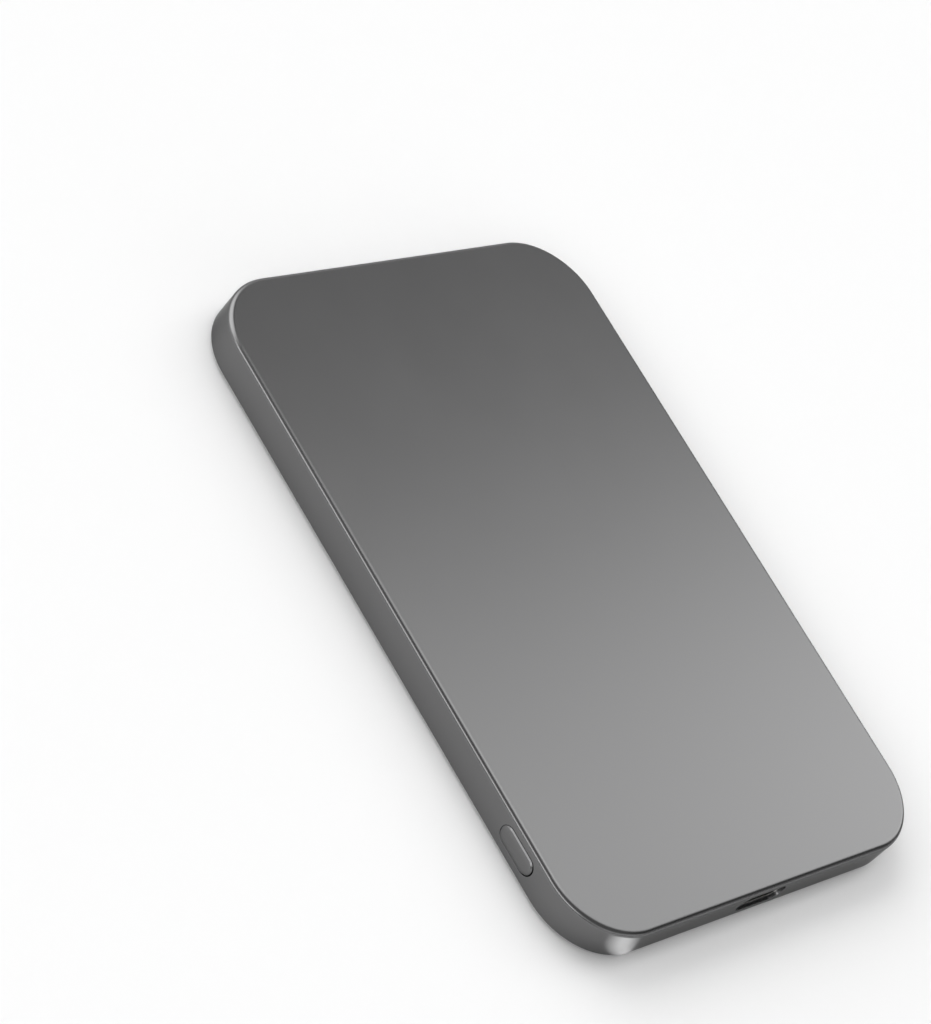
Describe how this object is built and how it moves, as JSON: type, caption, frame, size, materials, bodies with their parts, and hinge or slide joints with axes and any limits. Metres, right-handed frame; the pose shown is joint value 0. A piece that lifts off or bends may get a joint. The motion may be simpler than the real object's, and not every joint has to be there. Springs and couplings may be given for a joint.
{
  "type": "magnetic power bank",
  "caption": "Slim rounded rectangular power bank with a satin metal front, a magnetic rear face, a side button and a charging socket in one end.",
  "frame": {"origin": "middle of the flat rear face, which is the magnetic face it lies on", "axes": "+Z out of the metal front; +Y along the length towards the end with the magnet ring, so the charging socket faces -Y; the button sits in the -X wall"},
  "size_m": [0.0688, 0.1018, 0.0056],
  "materials": {
    "shell_metal": "fine bead-blasted and anodised grey, satin",
    "button_metal": "anodised grey, satin",
    "cover_plastic": "fine moulded grain, matt",
    "frame_plastic": "moulded, matt",
    "adhesive": "foam tape, matt",
    "socket_steel": "drawn and nickel plated",
    "socket_plastic": "moulded, matt",
    "gilt": "gilt, bright",
    "switch_plastic": "moulded, matt",
    "board_laminate": "solder resist, glossy",
    "chip_plastic": "moulded, matt",
    "capacitor_ceramic": "fired, matt",
    "ferrite": "pressed and fired, matt",
    "copper": "enamelled copper",
    "magnet_plating": "nickel plated",
    "steel": "cold rolled",
    "pouch_foil": "laminated foil",
    "tab_nickel": "nickel strip",
    "graphite": "rolled graphite"
  },
  "bodies": {
    "case": {"alignment_magnet_1": "magnet_plating", "alignment_magnet_2": "magnet_plating", "alignment_magnet_3": "magnet_plating", "battery_cell": "pouch_foil", "battery_tab_minus": "tab_nickel", "battery_tab_plus": "tab_nickel", "battery_tape_1": "adhesive", "battery_tape_2": "adhesive", "board_screw_1": "steel", "board_screw_2": "steel", "bridge_transistor_1": "chip_plastic", "bridge_transistor_2": "chip_plastic", "bridge_transistor_3": "chip_plastic", "bridge_transistor_4": "chip_plastic", "charge_chip": "chip_plastic", "charging_coil": "copper", "coil_lead_1": "copper", "coil_lead_2": "copper", "cover_adhesive": "adhesive", "driver_chip": "chip_plastic", "ferrite_disc": "ferrite", "front_shell": "shell_metal", "heat_spreader": "graphite", "inner_frame": "frame_plastic", "main_board": "board_laminate", "power_inductor": "ferrite", "rear_cover": "cover_plastic", "resonance_capacitor_1": "capacitor_ceramic", "resonance_capacitor_2": "capacitor_ceramic", "resonance_capacitor_3": "capacitor_ceramic", "resonance_capacitor_4": "capacitor_ceramic", "ring_magnet_01": "magnet_plating", "ring_magnet_02": "magnet_plating", "ring_magnet_03": "magnet_plating", "ring_magnet_04": "magnet_plating", "ring_magnet_05": "magnet_plating", "ring_magnet_06": "magnet_plating", "ring_magnet_07": "magnet_plating", "ring_magnet_08": "magnet_plating", "ring_magnet_09": "magnet_plating", "ring_magnet_10": "magnet_plating", "ring_magnet_11": "magnet_plating", "ring_magnet_12": "magnet_plating", "ring_magnet_13": "magnet_plating", "ring_magnet_14": "magnet_plating", "ring_magnet_15": "magnet_plating", "ring_magnet_16": "magnet_plating", "ring_yoke": "steel", "socket_contacts": "gilt", "socket_shell": "socket_steel", "socket_tongue": "socket_plastic", "switch_body": "switch_plastic"},
    "button": {"power_button": "button_metal", "switch_plunger": "switch_plastic"}
  },
  "joints": [
    {"name": "button_press", "type": "slide", "parent": "case", "child": "button", "axis": [1, 0, 0], "range_m": [0, 0.00025], "stiffness_N_per_m": 4000}
  ]
}
